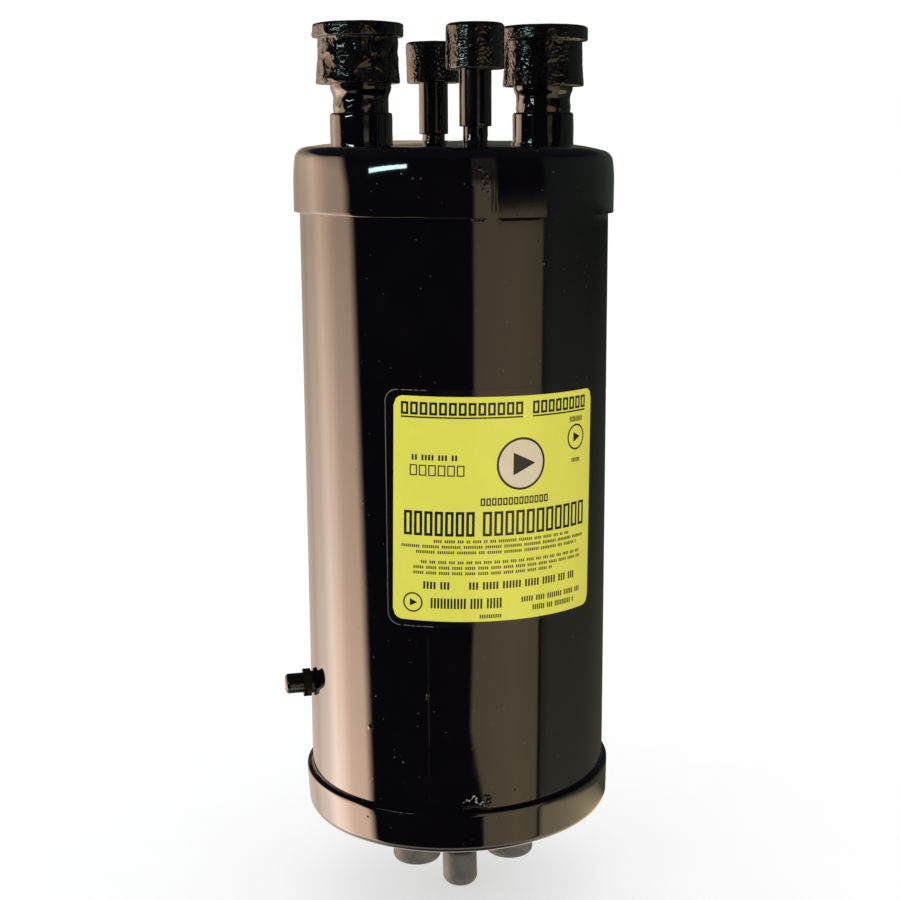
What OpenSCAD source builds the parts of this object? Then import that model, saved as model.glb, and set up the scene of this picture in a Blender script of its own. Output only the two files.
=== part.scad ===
// Suction line accumulator with a liquid line coil, on a stud mount.
// Millimetres, +Z up. The origin is on the vessel's axis, in the plane of the feet.
// The suction ports lie on X, the inlet at -X, and the liquid ports on Y, the inlet at -Y.

/* [Vessel] */
// Outside diameter of the shell tube
shell_d = 127; // [115:0.5:160]
// Wall of the shell tube
shell_wall = 2.6; // [1.6:0.1:4]
// Height over both heads
vessel_h = 282.1; // [240:0.1:400]
// Sheet thickness of the heads
head_wall = 2.4; // [1.6:0.1:3.5]
// Outer corner radius of the top head
top_corner = 7.6; // [4.5:0.1:10]
// Outer corner radius of the bottom head
bottom_corner = 3.4; // [3:0.1:10]
// Depth of the top head over its skirt
top_head_h = 27.8; // [18:0.1:45]
// Depth of the bottom head over its skirt
bottom_head_h = 17.7; // [14:0.1:45]
// Height of the braze fillet at each skirt
braze_leg = 1.2; // [0.8:0.1:4]
// Radial gap of a brazed joint
braze_gap = 0.1; // [0.05:0.01:0.2]

/* [Suction ports] */
// Distance of all port centres in from the outside of the shell
port_inset = 25.4; // [23:0.1:30]
// Outside diameter of the suction line that fits the sockets
suction_line_d = 22.2; // [20:0.1:25]
// Diametral clearance of a line in its socket
socket_clearance = 0.1; // [0.05:0.01:0.25]
// Depth of the suction sockets
suction_socket_depth = 19; // [14:0.1:22]
// Wall of the swaged suction sockets
suction_socket_wall = 1.15; // [0.8:0.05:2]
// Outside diameter of the suction stubs below their sockets
suction_neck_d = 22.2; // [19:0.1:24]
// Wall of the suction stubs below their sockets
suction_neck_wall = 1.45; // [1:0.05:2]
// Length of the cone between neck and socket
swage_length = 2.5; // [1:0.1:5]
// Height of the suction stubs above the top head
suction_rise = 40.1; // [36:0.1:60]
// Length of the suction stubs inside the vessel
suction_reach = 15; // [12:0.1:25]
// Height of the collars round the suction stubs
collar_h = 12; // [5:0.1:14]
// Wall of the collars
collar_wall = 1.35; // [1:0.05:3]

/* [Liquid ports] */
// Outside diameter of the liquid line that fits the sockets
liquid_line_d = 9.53; // [8:0.01:12.7]
// Depth of the liquid sockets
liquid_socket_depth = 14; // [8:0.1:20]
// Wall of the liquid stubs' barrels
liquid_barrel_wall = 1.44; // [0.8:0.01:2.5]
// Length of the liquid stubs' barrels
liquid_barrel_h = 35; // [30:0.1:45]
// Outside diameter of the liquid stubs below their barrels
liquid_neck_d = 9.5; // [8:0.1:11]
// Wall of the liquid stubs below their barrels
liquid_neck_wall = 0.7; // [0.5:0.05:1.2]
// Height of the inlet barrel's shoulder above the top head
liquid_inlet_rise = 6; // [2:0.1:10]
// Height of the outlet barrel's shoulder above the top head
liquid_outlet_rise = 3.7; // [2:0.1:10]
// Length of the liquid stubs inside the vessel
liquid_reach = 15; // [12:0.1:25]

/* [Protective caps] */
// Radial slip clearance of a cap on its stub
cap_gap = 0.25; // [0.15:0.05:0.5]
// Gap between the end of a stub and the disc of its cap
cap_end_gap = 0.3; // [0.2:0.05:1]
// How far the suction caps reach down their stubs
suction_cap_depth = 18; // [10:0.1:22]
// Wall of the suction caps under the flange
suction_cap_wall = 3.45; // [2:0.05:5]
// How much the wall of the suction caps grows towards the open end
suction_cap_flare = 0.75; // [0:0.05:1.5]
// Height of the flange on the suction caps
suction_flange_h = 6.5; // [3:0.1:8]
// How far the flange stands out from the wall
suction_flange_lip = 2.35; // [1:0.05:4]
// Thickness of the disc of the suction caps
suction_cap_disc = 6.6; // [3:0.1:9]
// How much higher the inlet cap sits on its stub than the outlet cap
inlet_cap_lift = 0.9; // [0:0.1:2]
// How far the liquid caps reach down their stubs
liquid_cap_depth = 13.9; // [8:0.1:18]
// Wall of the liquid caps
liquid_cap_wall = 4.8; // [2:0.05:5.5]
// Thickness of the disc of the liquid caps
liquid_cap_disc = 3.7; // [2.5:0.1:6]
// Edge radius of the port caps
cap_edge = 1.6; // [0.8:0.1:2.4]
// How far the stud cap reaches up the stud
stud_cap_depth = 13.6; // [6:0.1:13.9]
// Wall of the stud cap
stud_cap_wall = 2.7; // [1:0.05:4]
// Thickness of the end of the stud cap
stud_cap_disc = 2.8; // [1.5:0.1:4]

/* [Mounting] */
// Height of the feet
foot_h = 24.6; // [10:0.1:40]
// Outside diameter of the feet
foot_d = 20.6; // [14:0.1:26]
// Wall of the drawn feet
foot_wall = 2; // [1:0.1:3]
// Corner radius of the feet
foot_corner = 2.4; // [0.5:0.1:5]
// Radius of the circle on which the feet stand
foot_circle_r = 23.6; // [22:0.1:40]
// Turn of the feet from the ports towards the inlet
foot_turn = 4.3; // [0:0.1:30]
// Diameter of the mounting stud
stud_d = 9.525; // [8:0.005:12]
// How much smaller the rolled thread is than the shank
thread_undersize = 0.25; // [0.1:0.05:0.5]
// How far the plain shank reaches below the feet
shank_reach = 2; // [0.5:0.1:2.2]
// Width of the groove between the shank and the thread
relief_w = 1.2; // [0.8:0.1:2]
// Depth of the groove between the shank and the thread
relief_depth = 0.8; // [0.4:0.1:1.5]
// How far the stud reaches below the feet
stud_reach = 16; // [16:0.1:30]
// Diameter of the stud's weld flange
stud_flange_d = 16; // [12:0.1:20]
// Thickness of the stud's weld flange
stud_flange_h = 1.6; // [1:0.1:3]

/* [Fusible plug] */
// Height of the plug's centre above the feet
plug_z = 80.2; // [75:0.1:100]
// Diameter of the boss in the shell wall
boss_d = 9.6; // [9:0.1:16]
// How far the boss stands out of the shell
boss_rise = 0.7; // [0.5:0.1:5]
// Length of the boss inside the shell
boss_reach = 2.4; // [1:0.1:5]
// Diameter of the plug's shank in the boss
plug_shank_d = 7; // [6:0.1:8]
// Width of the plug's hexagon across its flats
plug_hex = 10.2; // [9.6:0.1:16]
// Turn of the plug's hexagon about its axis
plug_turn = 18; // [0:1:59]
// Thickness of the plug's hexagon
plug_hex_h = 3.4; // [2:0.1:6]
// Diameter of the plug's nose
plug_nose_d = 8.6; // [7:0.1:9.6]
// Length of the plug's nose
plug_nose_l = 7.5; // [4:0.1:12]
// Edge radius of the plug's nose
plug_nose_edge = 1.6; // [0.5:0.1:2]
// Diameter of the fusible core
core_d = 3.6; // [2:0.1:4]

/* [Label] */
// Width of the label round the shell, over its clear border
label_w = 95.2; // [60:0.1:120]
// Height of the label, over its clear border
label_h = 94.4; // [60:0.1:120]
// Height of the label's centre above the feet
label_z = 166.7; // [150:0.1:200]
// Turn of the label's centre from the front towards the outlet
label_turn = 4.8; // [0:0.1:20]
// Corner radius of the label
label_corner = 5; // [1:0.1:10]
// Thickness of the label
label_t = 0.15; // [0.1:0.05:0.3]
// Thickness of the glue under the label
label_glue = 0.05; // [0.02:0.01:0.1]

/* [Inner pipework] */
// Length of a pipe's end inside its stub
pipe_insert = 10; // [6:0.1:12]
// Wall of the drop tube and the U tube
suction_pipe_wall = 1.1; // [0.7:0.05:2]
// Length of the drop tube below the head
drop_length = 62; // [40:0.1:100]
// Height of the drop tube's side window
window_h = 18; // [8:0.1:20]
// Height of the deflector cup's lip
deflector_lip = 6; // [3:0.1:10]
// Sheet thickness of the deflector cup
deflector_wall = 1.2; // [0.8:0.1:2]
// Gap between the drop tube and the U tube's return leg
leg_gap = 7; // [3:0.1:9]
// Gap between the top of the return leg and the top head
return_gap = 25; // [18:0.1:40]
// Slope of the return leg's open end
return_slope = 30; // [0:1:40]
// Gap between the U tube's bend and the coil
bend_gap = 1.5; // [1:0.1:5]
// Diameter of the oil bleed hole
bleed_d = 2; // [1:0.1:3]
// Diameter of the oil strainer
strainer_d = 13; // [10:0.1:15]
// Height of the oil strainer below the bend
strainer_h = 12; // [8:0.1:16]
// Wall of the oil strainer
strainer_wall = 0.8; // [0.5:0.1:1.2]
// Diameter of the strainer's holes
strainer_hole = 1.6; // [1:0.1:2]
// Least gap under the oil strainer
strainer_gap = 4; // [2:0.1:10]
// Gap between the coil and the shell
coil_gap = 8; // [5:0.1:9]
// Gap between the coil and the bottom head
coil_floor_gap = 3; // [1:0.1:10]
// Whole turns of the coil
coil_turns = 2; // [1:1:4]
// Pitch of the coil
coil_pitch = 10.5; // [9.5:0.1:14]
// Bend radius of the coil's risers
coil_bend = 16; // [12:0.1:17]
// Wall of the coil's tube
coil_wall = 0.8; // [0.5:0.05:1.2]

/* [Hidden] */
$fn = 96;
// How far a cut runs past the face that it opens
cut = 1;

// Vessel
shell_r = shell_d / 2;
shell_ri = shell_r - shell_wall;
head_ri = shell_r + braze_gap;
head_r = head_ri + head_wall;
base_z = foot_h;
top_z = base_z + vessel_h;
floor_z = base_z + head_wall;
ceiling_z = top_z - head_wall;
skirt_z = top_z - top_head_h;
rim_z = base_z + bottom_head_h;

// Ports
port_r = shell_r - port_inset;
inlet_az = 180;
outlet_az = 0;
liquid_inlet_az = -90;
liquid_outlet_az = 90;
suction_socket_d = suction_line_d + socket_clearance;
suction_socket_od = suction_socket_d + 2 * suction_socket_wall;
suction_bore = suction_neck_d - 2 * suction_neck_wall;
suction_hole = suction_neck_d + 2 * braze_gap;
liquid_socket_d = liquid_line_d + socket_clearance;
liquid_barrel_d = liquid_socket_d + 2 * liquid_barrel_wall;
liquid_bore = liquid_neck_d - 2 * liquid_neck_wall;
liquid_hole = liquid_neck_d + 2 * braze_gap;

// Drop tube and U tube, which both fit the bore of the suction stubs
pipe_d = suction_bore - 2 * braze_gap;
pipe_bore = pipe_d - 2 * suction_pipe_wall;
pipe_top_z = ceiling_z - suction_reach + pipe_insert;
drop_z = ceiling_z - drop_length;
return_x = -(port_r - pipe_d - leg_gap);
return_z = ceiling_z - return_gap;
bend_r = (port_r - return_x) / 2;
bend_x = port_r - bend_r;
bend_outer = bend_r + pipe_d / 2;

// Coil, which fits the bore of the liquid stubs
coil_d = liquid_bore - 2 * braze_gap;
coil_r = shell_ri - coil_gap - coil_d / 2;
coil_z = floor_z + coil_floor_gap + coil_d / 2;
coil_top_z = ceiling_z - liquid_reach + pipe_insert;
// Radius of the level arc that leads from a riser's bend into the coil
lead_r = (pow(coil_r, 2) - pow(port_r, 2) - pow(coil_bend, 2)) / (2 * (coil_r - port_r));
// Azimuth at which the lead arc meets the coil
lead_az = atan2(port_r - lead_r, coil_bend);
coil_sweep = 360 * coil_turns + 2 * lead_az;
coil_rise = coil_pitch * coil_sweep / 360;
coil_sides = 12;
coil_step = 11;

// Height of the U tube's bend: inside the coil, and with room for the strainer under it
coil_ri = coil_r - coil_d / 2;
bend_cos = min(1, (coil_ri - bend_gap - bend_x) / bend_outer);
bend_over_coil_z = coil_z + coil_rise + coil_d / 2 + bend_outer * sin(acos(bend_cos));
bend_over_floor_z = floor_z + strainer_gap + strainer_h + bend_outer;
bend_z = max(bend_over_coil_z, bend_over_floor_z);
strainer_z = bend_z - bend_outer - strainer_h;

// Caps
suction_cap_bore = suction_socket_od + 2 * cap_gap;
liquid_cap_bore = liquid_barrel_d + 2 * cap_gap;
thread_d = stud_d - thread_undersize;
stud_cap_bore = thread_d + 2 * cap_gap;

// Fusible plug
boss_hole = boss_d + 2 * braze_gap;
plug_seat = shell_r + boss_rise;
plug_end = plug_seat + plug_hex_h + plug_nose_l;

// Feet: two at the front and one at the rear
foot_az = [-150 - foot_turn, -30 - foot_turn, 90 - foot_turn];

paint = [0.035, 0.035, 0.045];
rubber = [0.06, 0.06, 0.07];
copper = [0.72, 0.44, 0.29];
brass = [0.75, 0.62, 0.32];
steel = [0.6, 0.6, 0.62];
vinyl = [0.09, 0.09, 0.1];
yellow = [0.88, 0.86, 0.3];

// Half section of a revolved body with rounded outer corners: r by h, top and bottom edge radii
module rounded_half(r, h, top_edge, bottom_edge) {
    translate([0, bottom_edge]) square([r, h - top_edge - bottom_edge]);
    if (top_edge > 0)
        translate([0, h - top_edge]) rounded_edge(r, top_edge);
    if (bottom_edge > 0)
        translate([0, bottom_edge]) mirror([0, 1]) rounded_edge(r, bottom_edge);
}

// Strip of a half section, edge high, that ends in a quarter circle
module rounded_edge(r, edge) {
    square([r - edge, edge]);
    intersection() {
        translate([r - edge, 0]) circle(edge);
        square([r, edge]);
    }
}

// Places children on the port at the azimuth az, on top of the top head
module at_port(az) {
    rotate([0, 0, az]) translate([port_r, 0, top_z]) children();
}

// Places children on the axis of the fusible plug, with +Z pointing out of the shell
module at_plug() {
    translate([0, 0, plug_z]) rotate([0, -90, 0]) children();
}

// Drawn cup, open downwards, with its flat end up at z = h
module drawn_cup(r, h, wall, corner) {
    rotate_extrude()
        difference() {
            rounded_half(r, h, corner, 0);
            translate([0, -cut]) rounded_half(r - wall, h + cut - wall, max(corner - wall, 0.1), 0);
        }
}

module shell() {
    color(paint)
        difference() {
            translate([0, 0, base_z + bottom_corner + braze_gap])
                difference() {
                    length = vessel_h - top_corner - bottom_corner - 2 * braze_gap;
                    cylinder(h = length, r = shell_r);
                    translate([0, 0, -cut]) cylinder(h = length + 2 * cut, r = shell_ri);
                }
            at_plug() translate([0, 0, shell_ri - boss_reach])
                cylinder(h = plug_end - shell_ri, d = boss_hole);
        }
}

module top_head() {
    color(paint)
        difference() {
            translate([0, 0, skirt_z]) drawn_cup(head_r, top_head_h, head_wall, top_corner);
            for (az = [inlet_az, outlet_az]) at_port(az) hole_through_head(suction_hole);
            for (az = [liquid_inlet_az, liquid_outlet_az]) at_port(az) hole_through_head(liquid_hole);
        }
}

module hole_through_head(d) {
    translate([0, 0, -head_wall - cut]) cylinder(h = head_wall + 2 * cut, d = d);
}

module bottom_head() {
    color(paint)
        translate([0, 0, rim_z]) mirror([0, 0, 1])
            drawn_cup(head_r, bottom_head_h, head_wall, bottom_corner);
}

// Fillet of filler metal on the outside of the shell, from z = 0 down to the braze leg
module braze_fillet() {
    rotate_extrude()
        polygon([[shell_r, 0], [head_r - head_wall / 4, 0], [shell_r, -braze_leg]]);
}

module top_braze_ring() {
    color(paint) translate([0, 0, skirt_z]) braze_fillet();
}

module bottom_braze_ring() {
    color(paint) translate([0, 0, rim_z]) mirror([0, 0, 1]) braze_fillet();
}

module collar() {
    rotate_extrude()
        translate([suction_hole / 2, 0]) square([collar_wall, collar_h]);
}

module inlet_collar() {
    color(paint) at_port(inlet_az) collar();
}

module outlet_collar() {
    color(paint) at_port(outlet_az) collar();
}

// Suction stub: a neck through the head, swaged out to a socket at its top
module suction_stub() {
    neck_r = suction_neck_d / 2;
    bore_r = suction_bore / 2;
    socket_r = suction_socket_d / 2;
    socket_z = suction_rise - suction_socket_depth;
    foot_z = -head_wall - suction_reach;
    rotate_extrude()
        polygon([
            [bore_r, foot_z], [neck_r, foot_z], [neck_r, socket_z - swage_length],
            [socket_r + suction_socket_wall, socket_z], [socket_r + suction_socket_wall, suction_rise],
            [socket_r, suction_rise], [socket_r, socket_z], [bore_r, socket_z - swage_length]
        ]);
}

module suction_inlet_fitting() {
    color(paint) at_port(inlet_az) suction_stub();
}

module suction_outlet_fitting() {
    color(paint) at_port(outlet_az) suction_stub();
}

// Liquid stub: a neck through the head under a thicker barrel with the socket
module liquid_stub(rise) {
    neck_r = liquid_neck_d / 2;
    bore_r = liquid_bore / 2;
    barrel_r = liquid_barrel_d / 2;
    socket_r = liquid_socket_d / 2;
    end_z = rise + liquid_barrel_h;
    socket_z = end_z - liquid_socket_depth;
    foot_z = -head_wall - liquid_reach;
    rotate_extrude()
        polygon([
            [bore_r, foot_z], [neck_r, foot_z], [neck_r, rise], [barrel_r, rise],
            [barrel_r, end_z], [socket_r, end_z], [socket_r, socket_z], [bore_r, socket_z]
        ]);
}

module liquid_inlet_fitting() {
    color(paint) at_port(liquid_inlet_az) liquid_stub(liquid_inlet_rise);
}

module liquid_outlet_fitting() {
    color(paint) at_port(liquid_outlet_az) liquid_stub(liquid_outlet_rise);
}

// Drop tube with a window towards the shell above its closed end
module inlet_drop_tube() {
    color(copper)
        difference() {
            at_inlet_axis(drop_z) cylinder(h = pipe_top_z - drop_z, d = pipe_d);
            at_inlet_axis(drop_z - cut) cylinder(h = pipe_top_z - drop_z + 2 * cut, d = pipe_bore);
            at_inlet_axis(drop_z + deflector_lip)
                translate([-pipe_d, -pipe_d, 0]) cube([pipe_d, 2 * pipe_d, window_h]);
        }
}

module at_inlet_axis(z) {
    translate([-port_r, 0, z]) children();
}

// Cup that closes the drop tube's lower end
module inlet_deflector() {
    inner_r = pipe_d / 2 + braze_gap;
    color(steel)
        at_inlet_axis(drop_z - deflector_wall)
            difference() {
                cylinder(h = deflector_wall + deflector_lip - braze_gap, r = inner_r + deflector_wall);
                translate([0, 0, deflector_wall]) cylinder(h = deflector_lip + cut, r = inner_r);
            }
}

// Half of a bent rod of diameter d, below the centre of the U tube's bend
module bend_rod(d) {
    translate([bend_x, 0, bend_z]) rotate([-90, 0, 0])
        rotate_extrude(angle = 180) translate([bend_r, 0]) circle(d = d);
}

module u_rod(d, over) {
    bend_rod(d);
    translate([port_r, 0, bend_z]) cylinder(h = pipe_top_z - bend_z + over, d = d);
    translate([return_x, 0, bend_z]) cylinder(h = return_z - bend_z + over, d = d);
}

// U tube: outlet leg, bend with the oil bleed hole, and return leg with a sloped open end
module u_tube() {
    color(copper)
        difference() {
            u_rod(pipe_d, 0);
            u_rod(pipe_bore, cut);
            translate([bend_x, 0, bend_z - bend_outer - cut])
                cylinder(h = suction_pipe_wall + 2 * cut, d = bleed_d);
            translate([return_x + pipe_d / 2, 0, return_z]) rotate([0, return_slope, 0])
                translate([-3 * pipe_d, -pipe_d, 0]) cube([4 * pipe_d, 2 * pipe_d, 2 * pipe_d]);
        }
}

// Perforated cup saddled on the underside of the bend
module oil_strainer() {
    rows = 3;
    columns = 8;
    saddle = strainer_d / 6;
    row_pitch = (strainer_h - 2 * strainer_hole) / rows;
    color(brass)
        difference() {
            translate([bend_x, 0, strainer_z]) cylinder(h = strainer_h + saddle, d = strainer_d);
            translate([bend_x, 0, strainer_z + strainer_wall])
                cylinder(h = strainer_h + saddle, d = strainer_d - 2 * strainer_wall);
            bend_rod(pipe_d + 2 * braze_gap);
            for (row = [0 : rows - 1], column = [0 : columns - 1])
                translate([bend_x, 0, strainer_z + strainer_wall + strainer_hole + row * row_pitch])
                    rotate([0, 90, (column + row / 2 + 1 / 4) * 360 / columns])
                        cylinder(h = strainer_d, d = strainer_hole);
        }
}

// One station of the coil's route: its point, its direction and its level normal
function station(point, along, normal) = [point, along, normal];

// Stations of a riser's bend, in the vertical plane y = side * port_r, at the height z
function bend_stations(side, z, angles) = [
    for (a = angles)
        station(
            [coil_bend * (1 + cos(a)), side * port_r, z + coil_bend * (1 + sin(a))],
            side * [sin(a), 0, -cos(a)],
            [0, -side, 0]
        )
];

// Stations of a level or rising arc about the point c
function arc_stations(c, r, angles, z, rise_per_degree) = [
    for (a = angles)
        station(
            [c.x + r * cos(a), c.y + r * sin(a), z + rise_per_degree * (a - angles[0])],
            [-sin(a), cos(a), 0],
            [-cos(a), -sin(a), 0]
        )
];

// Angles from a to b, in equal steps of about the coil's step
function angle_steps(a, b) =
    let (n = ceil(abs(b - a) / coil_step)) [for (i = [0 : n]) a + (b - a) * i / n];

function without_first(list) = [for (i = [1 : len(list) - 1]) list[i]];

// Route of the coil: inlet riser, bend, lead arc, turns, lead arc, bend, outlet riser
function coil_route() =
    let (
        end_z = coil_z + coil_rise,
        lead_in = angle_steps(-90, -lead_az),
        turns = angle_steps(-lead_az, coil_sweep - lead_az),
        lead_out = angle_steps(lead_az, 90)
    )
    concat(
        [station([0, -port_r, coil_top_z], [0, 0, -1], [0, 1, 0])],
        bend_stations(-1, coil_z, angle_steps(180, 270)),
        without_first(arc_stations([coil_bend, lead_r - port_r], lead_r, lead_in, coil_z, 0)),
        without_first(arc_stations([0, 0], coil_r, turns, coil_z, coil_pitch / 360)),
        without_first(arc_stations([coil_bend, port_r - lead_r], lead_r, lead_out, end_z, 0)),
        without_first(bend_stations(1, end_z, angle_steps(270, 180))),
        [station([0, port_r, coil_top_z], [0, 0, 1], [0, -1, 0])]
    );

// Ring of points round a station
function ring(s, r) = [
    for (i = [0 : coil_sides - 1])
        let (a = 360 * i / coil_sides)
        s[0] + r * (cos(a) * s[2] + sin(a) * cross(s[1], s[2]))
];

function quad(a, b, c, d) = [[a, b, c], [a, c, d]];

// Hollow tube along the route: outer rings first, then the rings of the bore
module liquid_coil() {
    route = coil_route();
    rings = len(route);
    bore_0 = rings * coil_sides;
    points = [
        for (r = [coil_d / 2, coil_d / 2 - coil_wall], s = route)
            each ring(s, r)
    ];
    walls = [
        for (k = [0 : rings - 2], i = [0 : coil_sides - 1])
            let (
                j = (i + 1) % coil_sides,
                a = k * coil_sides,
                b = a + coil_sides
            )
            each concat(
                quad(a + i, b + i, b + j, a + j),
                quad(bore_0 + a + j, bore_0 + b + j, bore_0 + b + i, bore_0 + a + i)
            )
    ];
    last = (rings - 1) * coil_sides;
    ends = [
        for (i = [0 : coil_sides - 1])
            let (j = (i + 1) % coil_sides)
            each concat(
                quad(i, j, bore_0 + j, bore_0 + i),
                quad(last + j, last + i, bore_0 + last + i, bore_0 + last + j)
            )
    ];
    color(copper) polyhedron(points, concat(walls, ends));
}

// Boss in the shell wall, with the plug's bore
module plug_boss() {
    inner = shell_ri - boss_reach;
    color(paint)
        at_plug() difference() {
            translate([0, 0, inner]) cylinder(h = plug_seat - inner, d = boss_d);
            translate([0, 0, inner - cut])
                cylinder(h = plug_seat - inner + 2 * cut, d = plug_shank_d + 2 * braze_gap);
        }
}

// Plug: shank in the boss, hexagon on the boss and a rounded nose, bored for the core
module fusible_plug() {
    inner = shell_ri - boss_reach;
    color(paint)
        at_plug() difference() {
            union() {
                translate([0, 0, inner]) cylinder(h = plug_seat - inner, d = plug_shank_d);
                translate([0, 0, plug_seat]) rotate([0, 0, plug_turn])
                    cylinder(h = plug_hex_h, d = plug_hex / cos(30), $fn = 6);
                translate([0, 0, plug_seat + plug_hex_h])
                    rotate_extrude() rounded_half(plug_nose_d / 2, plug_nose_l, plug_nose_edge, 0);
            }
            translate([0, 0, inner - cut]) cylinder(h = plug_end - inner + 2 * cut, d = core_d);
        }
}

// Core cast into the plug's bore
module fusible_core() {
    inner = shell_ri - boss_reach;
    color(steel)
        at_plug() translate([0, 0, inner]) cylinder(h = plug_end - inner, d = core_d);
}

// Label wrapped on the shell: a thin sleeve cut by the label's outline
module data_label() {
    half_chord = shell_r * sin(label_w / shell_d * 180 / PI);
    color(yellow)
        rotate([0, 0, label_turn]) translate([0, 0, label_z])
            intersection() {
                difference() {
                    cylinder(h = label_h, r = shell_r + label_glue + label_t, center = true);
                    cylinder(h = label_h + 2 * cut, r = shell_r + label_glue, center = true);
                }
                rotate([90, 0, 0]) linear_extrude(shell_d)
                    rounded_rectangle(2 * half_chord, label_h, label_corner);
            }
}

module rounded_rectangle(w, h, r) {
    square([w - 2 * r, h], center = true);
    square([w, h - 2 * r], center = true);
    for (x = [-1, 1], y = [-1, 1])
        translate([x * (w / 2 - r), y * (h / 2 - r)]) circle(r);
}

// Weld stud: flange on the bottom head, plain shank, groove and a threaded end
module mounting_stud() {
    chamfer = thread_d / 8;
    relief_r = stud_d / 2 - relief_depth;
    color(paint)
        rotate_extrude()
            polygon([
                [0, base_z], [stud_flange_d / 2, base_z], [stud_flange_d / 2, base_z - stud_flange_h],
                [stud_d / 2, base_z - stud_flange_h], [stud_d / 2, -shank_reach],
                [relief_r, -shank_reach], [relief_r, -shank_reach - relief_w],
                [thread_d / 2, -shank_reach - relief_w], [thread_d / 2, chamfer - stud_reach],
                [thread_d / 2 - chamfer, -stud_reach], [0, -stud_reach]
            ]);
}

// Drawn foot, with its open end welded to the bottom head
module foot(az) {
    rotate([0, 0, az]) translate([foot_circle_r, 0, foot_h])
        mirror([0, 0, 1]) drawn_cup(foot_d / 2, foot_h, foot_wall, foot_corner);
}

module foot_front_left() {
    color(paint) foot(foot_az[0]);
}

module foot_front_right() {
    color(paint) foot(foot_az[1]);
}

module foot_rear() {
    color(paint) foot(foot_az[2]);
}

// Suction cap: a tapered wall under a flanged disc, with its open end at z = 0
module suction_cap() {
    bore_r = suction_cap_bore / 2;
    top_r = bore_r + suction_cap_wall;
    height = suction_cap_depth + suction_cap_disc;
    translate([0, 0, suction_rise + cap_end_gap - suction_cap_depth])
        rotate_extrude()
            difference() {
                union() {
                    polygon([
                        [0, 0], [top_r + suction_cap_flare, 0],
                        [top_r, height - suction_flange_h], [0, height - suction_flange_h]
                    ]);
                    translate([0, height - suction_flange_h])
                        rounded_half(top_r + suction_flange_lip, suction_flange_h, cap_edge, cap_edge / 2);
                }
                translate([-cut, -cut]) square([bore_r + cut, suction_cap_depth + cut]);
            }
}

module inlet_cap() {
    color(rubber) at_port(inlet_az) translate([0, 0, inlet_cap_lift]) suction_cap();
}

module outlet_cap() {
    color(rubber) at_port(outlet_az) suction_cap();
}

// Liquid cap: a plain thick cup, with its open end at z = 0
module liquid_cap(rise) {
    bore_r = liquid_cap_bore / 2;
    height = liquid_cap_depth + liquid_cap_disc;
    translate([0, 0, rise + liquid_barrel_h + cap_end_gap - liquid_cap_depth])
        rotate_extrude()
            difference() {
                rounded_half(bore_r + liquid_cap_wall, height, cap_edge, cap_edge / 2);
                translate([-cut, -cut]) square([bore_r + cut, liquid_cap_depth + cut]);
            }
}

module liquid_inlet_cap() {
    color(rubber) at_port(liquid_inlet_az) liquid_cap(liquid_inlet_rise);
}

module liquid_outlet_cap() {
    color(rubber) at_port(liquid_outlet_az) liquid_cap(liquid_outlet_rise);
}

// Stud cap: a dipped sleeve with a round end, pointing down
module stud_cap() {
    bore_r = stud_cap_bore / 2;
    outer_r = bore_r + stud_cap_wall;
    color(vinyl)
        translate([0, 0, stud_cap_depth - stud_reach - cap_end_gap]) mirror([0, 0, 1])
            rotate_extrude()
                difference() {
                    rounded_half(outer_r, stud_cap_depth + stud_cap_disc, outer_r / 2, stud_cap_wall / 3);
                    translate([-cut, -cut]) square([bore_r + cut, stud_cap_depth + cut]);
                }
}

shell();
top_head();
bottom_head();
top_braze_ring();
bottom_braze_ring();
inlet_collar();
outlet_collar();
suction_inlet_fitting();
suction_outlet_fitting();
liquid_inlet_fitting();
liquid_outlet_fitting();
inlet_drop_tube();
inlet_deflector();
u_tube();
oil_strainer();
liquid_coil();
plug_boss();
fusible_plug();
fusible_core();
data_label();
mounting_stud();
foot_front_left();
foot_front_right();
foot_rear();
inlet_cap();
outlet_cap();
liquid_inlet_cap();
liquid_outlet_cap();
stud_cap();
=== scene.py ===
"""Looks of the suction line accumulator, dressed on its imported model. Metres, +Z up."""
from math import ceil, cos, degrees, hypot, pi, radians, sin, sqrt

import bpy
from mathutils import Matrix, Vector, noise


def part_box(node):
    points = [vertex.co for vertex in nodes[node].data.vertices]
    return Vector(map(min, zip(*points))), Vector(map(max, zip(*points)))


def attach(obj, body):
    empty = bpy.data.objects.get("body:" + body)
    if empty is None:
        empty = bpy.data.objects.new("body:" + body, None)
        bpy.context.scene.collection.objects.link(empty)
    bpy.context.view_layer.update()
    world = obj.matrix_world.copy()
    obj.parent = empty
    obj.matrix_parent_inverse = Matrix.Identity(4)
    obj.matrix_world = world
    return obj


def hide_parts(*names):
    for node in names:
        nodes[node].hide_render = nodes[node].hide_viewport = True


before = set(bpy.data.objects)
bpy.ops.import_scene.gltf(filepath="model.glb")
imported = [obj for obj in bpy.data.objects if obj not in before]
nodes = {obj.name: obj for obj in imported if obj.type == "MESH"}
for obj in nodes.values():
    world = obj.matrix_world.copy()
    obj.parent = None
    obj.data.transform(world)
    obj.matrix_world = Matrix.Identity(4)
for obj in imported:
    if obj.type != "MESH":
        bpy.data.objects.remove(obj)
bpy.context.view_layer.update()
MM = 0.001
UP = Vector((0, 0, 1))

# Camera: level with the top head and pitched down
VIEW_AZIMUTH = radians(-12.9)
VIEW_DISTANCE = 0.6538
VIEW_DROP = 0.00144
VIEW_PITCH = radians(10.99)
VIEW_YAW = radians(-0.2)
VIEW_ROLL = radians(-0.39)
SENSOR = 36.0
LENS = 62.58

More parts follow.
